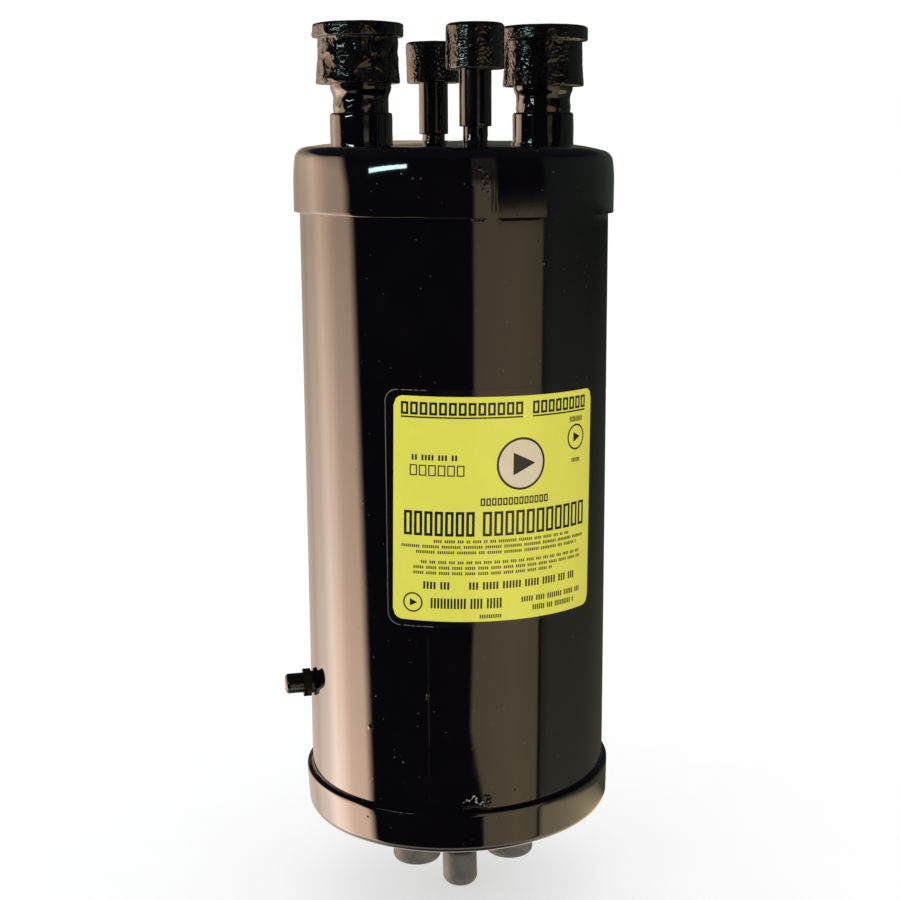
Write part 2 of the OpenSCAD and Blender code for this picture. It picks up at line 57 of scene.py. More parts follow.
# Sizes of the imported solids, in millimetres
HEAD_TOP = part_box("top_head")[1].z / MM
SKIRT_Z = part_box("top_head")[0].z / MM
BASE_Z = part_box("bottom_head")[0].z / MM
RIM_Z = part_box("bottom_head")[1].z / MM
HEAD_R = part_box("top_head")[1].x / MM
SHELL_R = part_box("shell")[1].y / MM
HEAD_WALL = 2.4
# Floor under the stud's cap, in metres
FLOOR_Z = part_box("stud_cap")[0].z


def link(thing):
    """Puts an object in the scene."""
    bpy.context.scene.collection.objects.link(thing)


def clamp(value, high=1.0):
    """The value, held between zero and a limit."""
    return min(high, max(0.0, value))


def right_of(point):
    """How far to the right of the axis the camera sees a point."""
    return point.x * cos(VIEW_AZIMUTH) + point.y * sin(VIEW_AZIMUTH)


def add_camera():
    """Camera at the photograph's place, built from its own axes."""
    right = Vector((cos(VIEW_YAW), -sin(VIEW_YAW), 0))
    level = Vector((sin(VIEW_YAW), cos(VIEW_YAW), 0))
    up = sin(VIEW_PITCH) * level + cos(VIEW_PITCH) * UP
    back = sin(VIEW_PITCH) * UP - cos(VIEW_PITCH) * level
    tilted_right = cos(VIEW_ROLL) * right + sin(VIEW_ROLL) * up
    tilted_up = cos(VIEW_ROLL) * up - sin(VIEW_ROLL) * right
    axes = Matrix((tilted_right, tilted_up, back)).transposed()
    place = Vector((0, -VIEW_DISTANCE, HEAD_TOP * MM - VIEW_DROP))
    turn = Matrix.Rotation(VIEW_AZIMUTH, 4, "Z")
    data = bpy.data.cameras.new("camera")
    data.sensor_width = SENSOR
    data.sensor_fit = "HORIZONTAL"
    data.lens = LENS
    data.clip_start = 0.01
    camera = bpy.data.objects.new("camera", data)
    camera.matrix_world = turn @ Matrix.Translation(place) @ axes.to_4x4()
    link(camera)
    bpy.context.scene.camera = camera


# Shader building

def wire(tree, node, values):
    """Links inputs of a node to sockets, or sets their values; a colour gets its alpha."""
    for key, value in values.items():
        socket = node.inputs[key]
        if isinstance(value, bpy.types.NodeSocket):
            tree.links.new(value, socket)
        elif socket.type == "RGBA":
            socket.default_value = (*value, 1)
        else:
            socket.default_value = value


def put(tree, kind, inputs=None, **settings):
    """Adds a shader node with its settings, and wires its inputs."""
    node = tree.nodes.new(kind)
    for key, value in settings.items():
        setattr(node, key, value)
    wire(tree, node, inputs or {})
    return node


def math_node(tree, operation, a, b=0.0, c=0.0):
    """Scalar operation on sockets or values."""
    return put(tree, "ShaderNodeMath", {0: a, 1: b, 2: c}, operation=operation).outputs[0]


def noise_node(tree, where, scale, detail=2.0, roughness=0.5):
    """Noise from 0 to 1; the scale is in waves per metre."""
    values = {"Vector": where, "Scale": scale, "Detail": detail, "Roughness": roughness}
    return put(tree, "ShaderNodeTexNoise", values).outputs[0]


def spread(tree, value, low, high, start=0.3, end=0.7):
    """Maps a value between start and end to the range from low to high, and holds it there."""
    values = {0: value, 1: start, 2: end, 3: low, 4: high}
    return put(tree, "ShaderNodeMapRange", values).outputs[0]


def blend_colors(tree, share, a, b):
    """Mix of two colours by a share."""
    return put(tree, "ShaderNodeMix", {0: share, 6: a, 7: b}, data_type="RGBA").outputs[2]


def bump_node(tree, height, distance, below=None):
    """Bump of a height from 0 to 1 over a distance in metres, on top of another bump."""
    values = {"Strength": 1.0, "Distance": distance, "Height": height}
    if below is not None:
        values["Normal"] = below
    return put(tree, "ShaderNodeBump", values).outputs[0]


def new_material(name):
    """Material with its tree, its surface shader and its object coordinates."""
    material = bpy.data.materials.new(name)
    material.use_nodes = True
    tree = material.node_tree
    shader = tree.nodes["Principled BSDF"]
    where = tree.nodes.new("ShaderNodeTexCoord").outputs["Object"]
    return material, tree, shader, where


def specks(tree, where, scale, size):
    """Share from 0 to 1 that is high in small round spots."""
    cells = put(tree, "ShaderNodeTexVoronoi", {"Vector": where, "Scale": scale})
    return spread(tree, cells.outputs["Distance"], 1.0, 0.0, 0.0, size)


def enamel(name, wave=40e-6, peel=2e-6):
    """Gloss black paint over steel: slow waves, orange peel, a few nibs and flecks of dust."""
    material, tree, shader, where = new_material(name)
    waves = noise_node(tree, where, 35.0, 1.0)
    ripple = noise_node(tree, where, 700.0, 2.0)
    nibs = specks(tree, where, 160.0, 0.07)
    flecks = specks(tree, where, 230.0, 0.06)
    patches = noise_node(tree, where, 60.0, 4.0, 0.6)
    normal = bump_node(tree, waves, wave)
    normal = bump_node(tree, ripple, peel, normal)
    normal = bump_node(tree, nibs, 30e-6, normal)
    tones = (0.0013, 0.001, 0.0024), (0.0021, 0.0016, 0.0027)
    tint = blend_colors(tree, spread(tree, patches, 0, 1), *tones)
    wire(tree, shader, {
        "Base Color": blend_colors(tree, flecks, tint, (0.2, 0.185, 0.165)),
        "Roughness": spread(tree, patches, 0.03, 0.07),
        "IOR": 1.5,
        "Coat Weight": spread(tree, flecks, 1.0, 0.3, 0.0, 1.0),
        "Coat Roughness": spread(tree, patches, 0.015, 0.05),
        "Coat IOR": 1.5,
        "Normal": normal,
        "Coat Normal": normal,
    })
    return material


def cap_rubber(name, wrinkle_depth, grain_depth):
    """Rubber under a clotted coat of paint: wet wrinkles and fine grain."""
    material, tree, shader, where = new_material(name)
    wrinkles = noise_node(tree, where, 230.0, 3.0, 0.55)
    grain = noise_node(tree, where, 850.0, 0.0)
    normal = bump_node(tree, wrinkles, wrinkle_depth)
    normal = bump_node(tree, grain, grain_depth, normal)
    wet = spread(tree, wrinkles, 0.0, 1.0, 0.4, 0.62)
    wire(tree, shader, {
        "Base Color": blend_colors(tree, wet, (0.003, 0.0028, 0.0028), (0.001, 0.001, 0.0016)),
        "Roughness": spread(tree, wet, 0.16, 0.08, 0.0, 1.0),
        "IOR": 1.5,
        "Coat Weight": spread(tree, wet, 0.3, 0.7, 0.0, 1.0),
        "Coat Roughness": spread(tree, grain, 0.02, 0.05),
        "Normal": normal,
        "Coat Normal": normal,
    })
    return material


def dusty(name, dark, pale, roughness, specular=0.5):
    """Dull, dusty surface in two tones."""
    material, tree, shader, where = new_material(name)
    patches = noise_node(tree, where, 180.0, 5.0, 0.6)
    grain = noise_node(tree, where, 2200.0, 2.0)
    wire(tree, shader, {
        "Base Color": blend_colors(tree, spread(tree, patches, 0, 1), dark, pale),
        "Roughness": spread(tree, patches, roughness - 0.12, roughness + 0.12),
        "Specular IOR Level": specular,
        "Normal": bump_node(tree, grain, 20e-6, bump_node(tree, patches, 60e-6)),
    })
    return material


def metal(name, color, dull, roughness, grain=(900.0, 900.0, 60.0)):
    """Bare metal with drawn grain and dull stains."""
    material, tree, shader, where = new_material(name)
    drawn = put(tree, "ShaderNodeMapping", {"Vector": where, "Scale": grain}).outputs[0]
    lines = noise_node(tree, drawn, 2.0, 3.0)
    stains = noise_node(tree, where, 90.0, 4.0, 0.6)
    wire(tree, shader, {
        "Base Color": blend_colors(tree, spread(tree, stains, 0, 1), color, dull),
        "Metallic": 1.0,
        "Roughness": spread(tree, stains, roughness, roughness + 0.2),
        "Normal": bump_node(tree, lines, 4e-6),
    })
    return material


def painted_stub(name, edge_z):
    """Black enamel up to a ragged edge, and above it bare copper that a cap kept clean."""
    material, tree, shader, where = new_material(name)
    height = put(tree, "ShaderNodeSeparateXYZ", {0: where}).outputs[2]
    ragged = noise_node(tree, where, 320.0, 4.0, 0.6)
    line = math_node(tree, "MULTIPLY_ADD", ragged, 0.004, edge_z - 0.002)
    bare = math_node(tree, "GREATER_THAN", height, line)
    waves = noise_node(tree, where, 90.0, 1.0)
    ripple = noise_node(tree, where, 700.0, 2.0)
    normal = bump_node(tree, ripple, 3e-6, bump_node(tree, waves, 60e-6))
    stains = spread(tree, noise_node(tree, where, 130.0, 4.0, 0.6), 0, 1)
    copper = blend_colors(tree, stains, (0.68, 0.36, 0.22), (0.42, 0.2, 0.11))
    wire(tree, shader, {
        "Base Color": blend_colors(tree, bare, (0.001, 0.001, 0.0016), copper),
        "Metallic": bare,
        "Roughness": spread(tree, bare, 0.12, 0.34, 0, 1),
        "Coat Weight": spread(tree, bare, 1.0, 0.0, 0, 1),
        "Coat Roughness": 0.03,
        "Normal": normal,
        "Coat Normal": normal,
    })
    return material


def film(name, color, faded, roughness, coat=0.6):
    """Printed or clear label film: gloss with a faint emboss and wear."""
    material, tree, shader, where = new_material(name)
    wear = noise_node(tree, where, 70.0, 5.0, 0.6)
    ripple = noise_node(tree, where, 160.0, 2.0)
    grain = noise_node(tree, where, 1800.0, 2.0)
    normal = bump_node(tree, grain, 1e-6, bump_node(tree, ripple, 12e-6))
    wire(tree, shader, {
        "Base Color": blend_colors(tree, spread(tree, wear, 0, 1), color, faded),
        "Roughness": spread(tree, wear, roughness, roughness + 0.12),
        "Coat Weight": coat,
        "Coat Roughness": 0.06,
        "Normal": normal,
        "Coat Normal": normal,
    })
    return material


# Mesh building, in millimetres

def rounded(points, steps=5):
    """Line through (radius, height, corner) points, with each corner cut by a curve."""
    line = []
    for i, (r, z, corner) in enumerate(points):
        here = Vector((r, z))
        if corner == 0 or i in (0, len(points) - 1):
            line.append(here)
            continue
        start = here + (Vector(points[i - 1][:2]) - here).normalized() * corner
        end = here + (Vector(points[i + 1][:2]) - here).normalized() * corner
        for k in range(steps + 1):
            t = k / steps
            line.append(start * (1 - t) ** 2 + here * 2 * t * (1 - t) + end * t * t)
    return line


def dense(line, step):
    """The line with no piece longer than a step."""
    out = [line[0]]
    for a, b in zip(line, line[1:]):
        count = max(1, ceil((b - a).length / step))
        out += [a.lerp(b, k / count) for k in range(1, count + 1)]
    return out


def make(name, verts, faces, material, body="vessel", slot="black_paint", sharp=40):
    """Mesh object from points in millimetres, riding on a body."""
    mesh = bpy.data.meshes.new(name)
    mesh.from_pydata([Vector(v) * MM for v in verts], [], faces)
    mesh.validate()
    mesh.shade_smooth()
    mesh.set_sharp_from_angle(angle=radians(sharp))
    mesh.materials.append(material)
    piece = bpy.data.objects.new(name, mesh)
    link(piece)
    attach(piece, body)
    return piece


def make_skin(node, *rest, **more):
    """Mesh object in place of a node, from what make() takes after the name."""
    piece = make(node + "_skin", *rest, **more)
    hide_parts(node)


def flipped(faces):
    """The faces, turned to look the other way."""
    return [tuple(reversed(face)) for face in faces]


def turned(line, center, segments, warp=None):
    """Points and faces of a line turned about a vertical axis; warp moves a point of it."""
    verts = []
    rings = []
    for r, z in line:
        count = segments if r > 1e-6 else 1
        rings.append((len(verts), count))
        for k in range(count):
            angle = 2 * pi * k / segments
            outward = Vector((cos(angle), sin(angle), 0))
            point = outward * r + UP * z
            if warp:
                point = warp(point, outward, angle)
            verts.append(point + Vector(center))
    faces = []
    for (a, na), (b, nb) in zip(rings, rings[1:]):
        for k in range(segments):
            j = (k + 1) % segments
            if na > 1 and nb > 1:
                faces.append((a + k, a + j, b + j, b + k))
            elif na > 1:
                faces.append((a + k, a + j, b))
            elif nb > 1:
                faces.append((a, b + j, b + k))
    return verts, faces


def center_of(node):
    """Middle of a node's box, in millimetres."""
    low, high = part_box(node)
    return (low + high) / (2 * MM)


def wrinkle(point, seed, size):
    """Noise from about -1 to 1 with waves of a size in millimetres."""
    return noise.noise((point + Vector((seed, 2 * seed, 3 * seed))) / size)


def folds(point, seed, size):
    """Ridged noise, near 1 on sharp folds and near 0 between them."""
    return 1 - abs(wrinkle(point, seed, size)) * 2.2


# Caps

def cap_warp(bore, height, seed, swell, ridge, dome, lean):
    """Warp of a cap: bulges and folds outside its bore, a domed top, a lean of its outside."""
    def warp(point, outward, angle):
        radius = hypot(point.x, point.y)
        outside = clamp((radius - bore - 0.6) / 1.5)
        top = clamp((point.z - height + 2.5) / 2.5)
        push = swell * wrinkle(point, seed, 9.0) + 0.4 * swell * wrinkle(point, seed + 5, 4.0)
        push += ridge * (max(0.0, folds(point, seed + 9, 6.5)) ** 3 - 0.4)
        grain = 0.08 * wrinkle(point, seed + 13, 1.3)
        side = outside * (1 - top) + 0.4 * outside * top
        moved = point + outward * (push * side + grain * outside)
        drop = 0.5 + 0.5 * wrinkle(Vector((point.x, point.y, 0)), seed + 3, 11.0)
        drop += 0.35 * max(0.0, wrinkle(point, seed + 4, 4.0))
        moved.z -= (0.9 * swell * drop + dome * (radius / (bore + 5)) ** 3 + 0.08 + grain) * top
        moved.x += outside * (lean[0] + (lean[1] - lean[0]) * point.z / height)
        return moved
    return warp


def add_cap(node, profile, bore, material, seed, swell, ridge, dome, lean=(0, 0)):
    """Cap turned from its profile, wrinkled, in place of its node."""
    low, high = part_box(node)
    middle = center_of(node)
    height = (high.z - low.z) / MM
    line = dense(rounded(profile), 0.45)
    warp = cap_warp(bore, height, seed, swell, ridge, dome, lean)
    center = (middle.x, middle.y, low.z / MM)
    make_skin(node, *turned(line, center, 224, warp), material, node, "rubber", 60)


def add_caps(wet, crackled):
    """The four caps on the stubs, of which the inlet's is the most wrinkled."""
    bore, wall, flange, height, depth = 12.55, 16.0, 18.35, 24.6, 18.0
    flanged = [
        (bore, 0, 0), (16.75, 0, 0.7), (16.1, 9, 0), (wall, height - 6.5, 0.7),
        (flange - 0.1, height - 6.6, 0.9), (flange - 0.15, height - 0.2, 1.7), (0, height, 0),
        (0, depth, 0), (bore, depth, 0), (bore, 0, 0),
    ]
    add_cap("inlet_cap", flanged, bore, wet, 11, 0.3, 0.5, 0.8, (-1.2, -0.8))
    add_cap("outlet_cap", flanged, bore, crackled, 23, 0.12, 0.08, 0.4)
    bore, outer, height, depth = 6.505, 11.3, 17.6, 13.9
    plain = [
        (bore, 0, 0), (outer, 0, 0.8), (outer - 0.1, height - 0.1, 1.8), (0, height, 0),
        (0, depth, 0), (bore, depth, 0), (bore, 0, 0),
    ]
    add_cap("liquid_inlet_cap", plain, bore, crackled, 37, 0.12, 0.08, 0.3)
    add_cap("liquid_outlet_cap", plain, bore, crackled, 51, 0.12, 0.08, 0.3, (-0.1, -0.5))


# Stubs on the top head

def add_suction_fitting(node, material, seed, lump, toward):
    """Suction stub with paint lumps above its collar, all round or toward one side."""
    middle = center_of(node)
    neck, bore, socket, outer = 11.1, 9.65, 11.15, 12.3
    foot, shoulder, seat, end = -17.4, 18.6, 21.1, 40.1
    lump_z, reach, lump_size = 14.4, 3.2, 2.1
    line = dense(rounded([
        (bore, foot, 0), (neck, foot, 0.2), (neck, shoulder, 1.5), (outer, seat, 1.2),
        (outer, end, 0.3), (socket, end, 0.3), (socket, seat, 0.3), (bore, shoulder, 0.3),
        (bore, foot, 0),
    ]), 0.9)
    def warp(point, outward, angle):
        if hypot(point.x, point.y) < neck - 0.3:
            return point
        near = max(0.0, 1 - abs(point.z - lump_z) / reach)
        facing = 1.0 if toward is None else max(0.0, outward.dot(toward)) ** 0.5
        swell = max(0.0, wrinkle(point, seed, lump_size) + 0.25)
        return point + outward * lump * near * facing * swell
    make_skin(node, *turned(line, (middle.x, middle.y, HEAD_TOP), 112, warp), material)


def add_collar(node, material, seed):
    """Collar with a soft top edge and a paint fillet on the head."""
    middle = center_of(node)
    bore, outer, fillet, top, foot = 11.2, 12.6, 12.9, 12.0, -2.9
    line = dense(rounded([
        (bore, top, 0), (outer, top, 1.2), (outer, -0.2, 0.3), (fillet, foot, 0), (bore, foot, 0),
        (bore, top, 0),
    ]), 0.7)
    def warp(point, outward, angle):
        radius = hypot(point.x, point.y)
        outside = 1.0 if radius > 11.6 else 0.0
        push = 0.14 * wrinkle(point, seed, 8.0) + 0.03 * wrinkle(point, seed, 3.0)
        return point + outward * outside * push
    center = (middle.x, middle.y, HEAD_TOP)
    make_skin(node, *turned(line, center, 112, warp), material, sharp=50)


def add_liquid_fitting(node, rise, material, seed):
    """Liquid stub with a paint fillet under its barrel and on the head."""
    middle = center_of(node)
    neck, bore, barrel, socket = 4.75, 4.05, 6.255, 4.815
    foot, end = -17.4, rise + 35
    line = dense(rounded([
        (bore, foot, 0), (neck, foot, 0), (neck, -2.6, 0), (5.4, -1.6, 0), (5.2, -0.4, 0.3),
        (neck + 0.1, 0.6, 0.3), (neck + 0.05, rise, 0.25), (barrel, rise, 0.45),
        (barrel, end, 0.3), (socket, end, 0.3), (socket, end - 14, 0), (bore, end - 14, 0),
        (bore, foot, 0),
    ]), 0.9)
    def warp(point, outward, angle):
        low = 1.0 if -1.5 < point.z < 2.5 and hypot(point.x, point.y) > neck - 0.1 else 0.0
        return point + outward * low * 0.3 * wrinkle(point, seed, 3.0)
    make_skin(node, *turned(line, (middle.x, middle.y, HEAD_TOP), 72, warp), material)


# Heads and braze fillets

def tipped(angle, pivot):
    """Function that tips a point about the view axis at a pivot, clockwise for the camera."""
    axis = Vector((sin(VIEW_AZIMUTH), -cos(VIEW_AZIMUTH), 0))
    turn = Matrix.Rotation(-radians(angle), 3, axis)
    def tip(point):
        return turn @ (point - pivot) + pivot
    return tip


# Tip of each head, in degrees about a pivot
tip_top = tipped(0.45, Vector((0, 0, HEAD_TOP - 14)))
tip_bottom = tipped(-1.2, Vector((10, 0, RIM_Z - 9)))
# Head radius that keeps a tipped head inside the straight one
TIPPED_R = HEAD_R - 0.22


def top_line():
    """Half section of the top head's outside: low crown, tight corner, slightly barrelled wall."""
    barrel, barrel_z, lean = 75.0, -16.1, radians(7.8)
    corner, slope = 5.2, radians(8)
    crown, power = 2.5, 3.5
    line = []
    for k in range(9):
        a = lean * k / 8
        radius = TIPPED_R - barrel * (1 - cos(a))
        line.append(Vector((radius, barrel_z + barrel * sin(a))))
    start = line[-1]
    for k in range(1, 21):
        a = lean + (pi / 2 - slope - lean) * k / 20
        arc = Vector((cos(a) - cos(lean), sin(a) - sin(lean)))
        line.append(start + corner * arc)
    edge = line[-1]
    for k in range(1, 25):
        share = 1 - k / 24
        line.append(Vector((edge.x * share, edge.y + crown * (1 - share ** power))))
    return list(reversed(line))


def bottom_line(corner, draft):
    """Half section of the bottom head's outside: flat, with a round corner set in by the draft."""
    flat = TIPPED_R - draft - corner
    line = [Vector((flat * k / 12, 0)) for k in range(12)]
    for k in range(17):
        a = pi / 2 * k / 16
        line.append(Vector((flat + corner * sin(a), corner * (cos(a) - 1))))
    return line


def head_line(outside, depth):
    """Half section of a drawn head that opens downwards, with its end at height zero."""
    corner_down = -outside[-1].y
    flat, crown = HEAD_R - 8, outside[0].y
    inner = HEAD_R - HEAD_WALL
    lip = ((0, 1.5), (0, 0.45), (0.1, 0.2), (0.3, 0.05), (0.6, 0))
    skirt = [Vector((TIPPED_R - inward, up - depth)) for inward, up in lip]
    inside = [(inner, -depth), (inner, -corner_down), (flat, -HEAD_WALL), (0, crown - HEAD_WALL)]
    return dense(outside + skirt + [Vector(p) for p in inside], 3.0)


def droop(point):
    """Point of the top head with its right shoulder pressed down, as the camera sees it."""
    share = max(0.0, (right_of(point) - 22) / 44) ** 2.5 * clamp((point.z + 13) / 13)
    return point - UP * 1.8 * share


def pooled(point):
    """Point of the top head on the waves of paint that pooled on its crown and shoulder."""
    share = clamp((point.z + 7) / 5)
    wave = 0.5 * wrinkle(point, 131, 14.0) + 0.1 * wrinkle(point, 137, 6.0) - 0.25
    return point + UP * share * wave


# Stretches of the lip that stay round, in millimetres right of the axis
ROUND_LIP = ((-24.0, -21.5), (-18.6, -11.0))


def crisp_lip(point, depth):
    """Point of the top head with its lip's round filled out, but for the left and ROUND_LIP."""
    radius = hypot(point.x, point.y)
    if point.z > 0.46 - depth or radius < TIPPED_R - 0.65:
        return point
    right = right_of(point)
    share = clamp((right + 42) / 4, 0.9)
    if any(start < right < end for start, end in ROUND_LIP):
        share = 0.0
    share = max(share, min(1.0, (right + 2) / 10))
    grown = radius + (TIPPED_R - radius) * share
    return Vector((point.x * grown / radius, point.y * grown / radius, point.z))


def add_heads(material):
    """Both heads, a little askew on the shell."""
    depth = HEAD_TOP - SKIRT_Z
    line = head_line(top_line(), depth)
    verts, faces = turned(line, (0, 0, 0), 192)
    verts = [tip_top(crisp_lip(droop(pooled(v)), depth) + UP * HEAD_TOP) for v in verts]
    make_skin("top_head", verts, faces, material)
    line = head_line(bottom_line(3.5, 0.5), RIM_Z - BASE_Z)
    verts, faces = turned(line, (0, 0, 0), 192)
    verts = [tip_bottom(Vector((v.x, v.y, BASE_Z - v.z))) for v in verts]
    make_skin("bottom_head", verts, flipped(faces), material)


def add_braze(node, z, down, leg, tip, material, seed):
    """Irregular fillet of filler and paint under a skirt (down 1) or on top of one (down -1)."""
    line = dense(rounded([
        (SHELL_R - 0.3, down * -(leg + 0.3), 0), (SHELL_R + 0.15, down * -leg, 0.1),
        (SHELL_R + 0.4, down * -0.3 * leg, 0.1), (SHELL_R + 1.7, down * 0.02, 0.2),
        (SHELL_R + 1.4, down * 0.5, 0),
    ]), 0.3)
    verts, faces = turned(line, (0, 0, 0), 480)
    spots = []
    for v in verts:
        outward = Vector((v.x, v.y, 0)).normalized()
        push = 0.1 * wrinkle(v, seed, 12.0) + 0.2 * wrinkle(v, seed + 2, 3.0)
        moved = v + outward * push + UP * down * 0.1 * wrinkle(v, seed + 7, 9.0)
        hidden = clamp((right_of(v) + 46) / 8) * max(0.0, down)
        spots.append(tip(moved + UP * (z + 0.8 * hidden)))
    make_skin(node, spots, flipped(faces) if down < 0 else faces, material, sharp=70)


def add_moved(node, body, material, slot, warp):
    """Copy of a node's mesh with its points moved, in the node's place."""
    source = nodes[node]
    verts = [warp(source.matrix_world @ v.co / MM) for v in source.data.vertices]
    faces = [tuple(polygon.vertices) for polygon in source.data.polygons]
    make_skin(node, verts, faces, material, body, slot, 30)


def add_feet(material):
    """Feet set on the tipped bottom head, with their pads left level."""
    def warp(point):
        moved = tip_bottom(point)
        moved.z = point.z + (moved.z - point.z) * point.z / BASE_Z
        return moved
    for node in ("foot_front_left", "foot_front_right", "foot_rear"):
        add_moved(node, "vessel", material, "black_paint", warp)


def add_stud_cap(material):
    """Cap on the stud, with a straight bore in a wall that leans to the camera's right."""
    right = Vector((cos(VIEW_AZIMUTH), sin(VIEW_AZIMUTH), 0))
    bore, disc_top = 5.2, FLOOR_Z / MM + 2.7
    def warp(point):
        if hypot(point.x, point.y) < bore and point.z > disc_top:
            return point
        return point + right * (0.7 - 0.02 * point.z)
    add_moved("stud_cap", "stud_cap", material, "vinyl", warp)


THREAD_CREST = 4.62


def thread_radius(z, angle):
    """Radius of the stud's rolled thread, 16 to the inch, at a height and an angle."""
    root, pitch = 3.85, 1.5875
    turn = (z / pitch + angle / (2 * pi)) % 1.0
    flank = clamp((abs(turn - 0.5) - 0.07) / 0.33)
    runout = clamp((-z - 3.4) / 0.8)
    return THREAD_CREST - (THREAD_CREST - root) * flank * runout


def add_stud(material):
    """Mounting stud with its weld flange, shank, groove and thread."""
    shank, groove, end = 4.76, 3.96, -16.0
    thread_top, thread_length, count = -3.2, 11.65, 76
    plain = [
        (0, 24.6), (8, 24.6), (8, 23.2), (7.8, 23.0), (shank, 23.0),
        (shank, -2.0), (groove, -2.0), (groove, thread_top),
    ]
    thread = [(THREAD_CREST, thread_top - thread_length * k / count) for k in range(count + 1)]
    line = [Vector(p) for p in plain + thread + [(3.4, end), (0, end)]]
    def warp(point, outward, angle):
        if abs(hypot(point.x, point.y) - THREAD_CREST) < 0.01:
            return outward * thread_radius(point.z, angle) + UP * point.z
        return point
    make_skin("mounting_stud", *turned(line, (0, 0, 0), 64, warp), material, sharp=30)


# Runs and nibs of paint; out is a pair of lists, points and faces, to add to

def on_wall(azimuth, z, radius):
    """Point at an azimuth right of the front, in degrees, on a wall about the axis."""
    a = radians(azimuth - 90)
    return Vector((radius * cos(a), radius * sin(a), z))


def add_nib(azimuth, z, radius, size, height, out):
    """Dome of paint on a wall."""
    verts, faces = out
    rings, count = 5, 14
    base = len(verts)
    for i in range(rings):
        share = 1 - i / rings
        lift = height * sqrt(1 - share ** 2) - 0.05 * (i == 0)
        for k in range(count):
            a = 2 * pi * k / count
            turn = degrees(size * share * cos(a) / radius)
            verts.append(on_wall(azimuth + turn, z + size * share * sin(a), radius + lift))
    verts.append(on_wall(azimuth, z, radius + height))
    for i in range(rings):
        for k in range(count):
            j = (k + 1) % count
            a = base + i * count
            if i == rings - 1:
                faces.append((a + k, a + j, base + rings * count))
            else:
                faces.append((a + k, a + j, a + count + j, a + count + k))


def add_run(azimuth, top, end, radius, half, height, bead, seed, out):
    """Run of paint down a wall, uneven, with a bead at its lower end."""
    verts, faces = out
    across, step = 6, 0.5
    count = ceil((top - end) / step)
    base = len(verts)
    for i in range(count + 1):
        z = top + (end - top) * i / count
        place = Vector((seed, 0, z))
        grow = min(1.0, i / 8) * min(1.0, (count - i) / 2)
        drop = 1 + bead * max(0.0, 1 - abs(z - end - 1.2) / 1.6)
        size = grow * drop * (1 + 0.5 * wrinkle(place, seed, 7.0))
        drift = 0.35 * half * wrinkle(place, seed + 3, 12.0)
        for k in range(across + 1):
            u = 2 * k / across - 1
            lift = height * size * (1 - u * u) - 0.02
            turn = degrees((drift + u * half * max(size, 0.25)) / radius)
            verts.append(on_wall(azimuth + turn, z, radius + lift))
    for i in range(count):
        for k in range(across):
            a = base + i * (across + 1) + k
            b = a + across + 1
            faces.append((a, b, b + 1, a + 1))


# Runs: azimuth, top, end, radius of the wall, half width, height, bead, seed
RUNS = (
    (-23.3, 118.0, 46.0, SHELL_R, 0.3, 0.07, 0.5, 5),
    (-20.8, 68.0, 46.0, SHELL_R, 1.3, 0.09, 0.9, 15),
    (-0.2, 297.0, 279.6, TIPPED_R, 0.4, 0.08, 0.1, 25),
    (0.9, 296.0, 279.8, TIPPED_R, 0.35, 0.07, 0.1, 35),
)
# Single nibs: azimuth, z, size, height
SHELL_NIBS = (
    (-23.3, 91.3, 0.8, 0.35), (-23.6, 89.8, 0.6, 0.3), (-46.6, 74.4, 1.4, 0.6),
    (19.8, 261.2, 0.7, 0.3), (-43.7, 88.2, 0.4, 0.2), (-26.9, 83.5, 0.4, 0.2),
    (-36.2, 63.7, 0.4, 0.2), (-32.8, 62.1, 0.5, 0.25), (8.6, 49.6, 0.5, 0.25),
)
HEAD_NIBS = ((-47.0, 36.3, 0.6, 0.14), (-26.1, 293.7, 0.5, 0.12), (-23.5, 293.7, 0.4, 0.12))
# Clots of nibs: azimuth, z, size
SHELL_CLOT = (
    (-2.6, 48.6, 0.7), (-1.6, 48.3, 0.9), (-0.9, 47.2, 0.8), (-1.9, 46.6, 1.2), (-1.2, 45.4, 1.0),
    (-2.4, 45.0, 0.9),
)
SKIRT_CLOT = (
    (-4.2, 297.0, 0.9), (-3.1, 296.2, 0.7), (-2.2, 294.5, 1.0), (-3.6, 293.0, 1.1),
    (-2.4, 291.2, 1.2), (-3.4, 289.6, 0.9), (-1.8, 288.4, 0.8), (-2.6, 287.0, 0.6),
    (-1.6, 286.0, 0.7),
)


def add_paint_faults(material):
    """Runs, nibs and clots that the dipped paint left on the shell and heads."""
    out = [], []
    for run in RUNS:
        add_run(*run, out)
    for azimuth, z, size, height in SHELL_NIBS:
        add_nib(azimuth, z, SHELL_R, size, height, out)
    # Low heap of spatter above the bottom head
    for k in range(34):
        azimuth = -10.6 + 10.0 * (k * 0.618 % 1.0)
        top = 4.6 - 0.62 * abs(azimuth + 4.6)
        z = RIM_Z + 0.3 + top * (k * 0.377 % 1.0)
        add_nib(azimuth, z, SHELL_R, 0.45 + 0.2 * (k % 3), 0.3 + 0.12 * (k % 4), out)
    for azimuth, z, size in SHELL_CLOT:
        add_nib(azimuth, z, SHELL_R, size, 0.7 * size, out)
    # Beads under the top head's lip
    for k in range(7):
        azimuth = -6.6 + 0.7 * k
        add_nib(azimuth, SKIRT_Z - 0.5 - 0.9 * (k % 2), SHELL_R, 0.7, 0.45, out)
    for azimuth, z, size in SKIRT_CLOT:
        add_nib(azimuth, z, TIPPED_R - 0.2, 0.9 * size, 0.33 * size, out)
    for azimuth, z, size, height in HEAD_NIBS:
        add_nib(azimuth, z, TIPPED_R, size, height, out)
    make("paint_runs", *out, material, sharp=60)


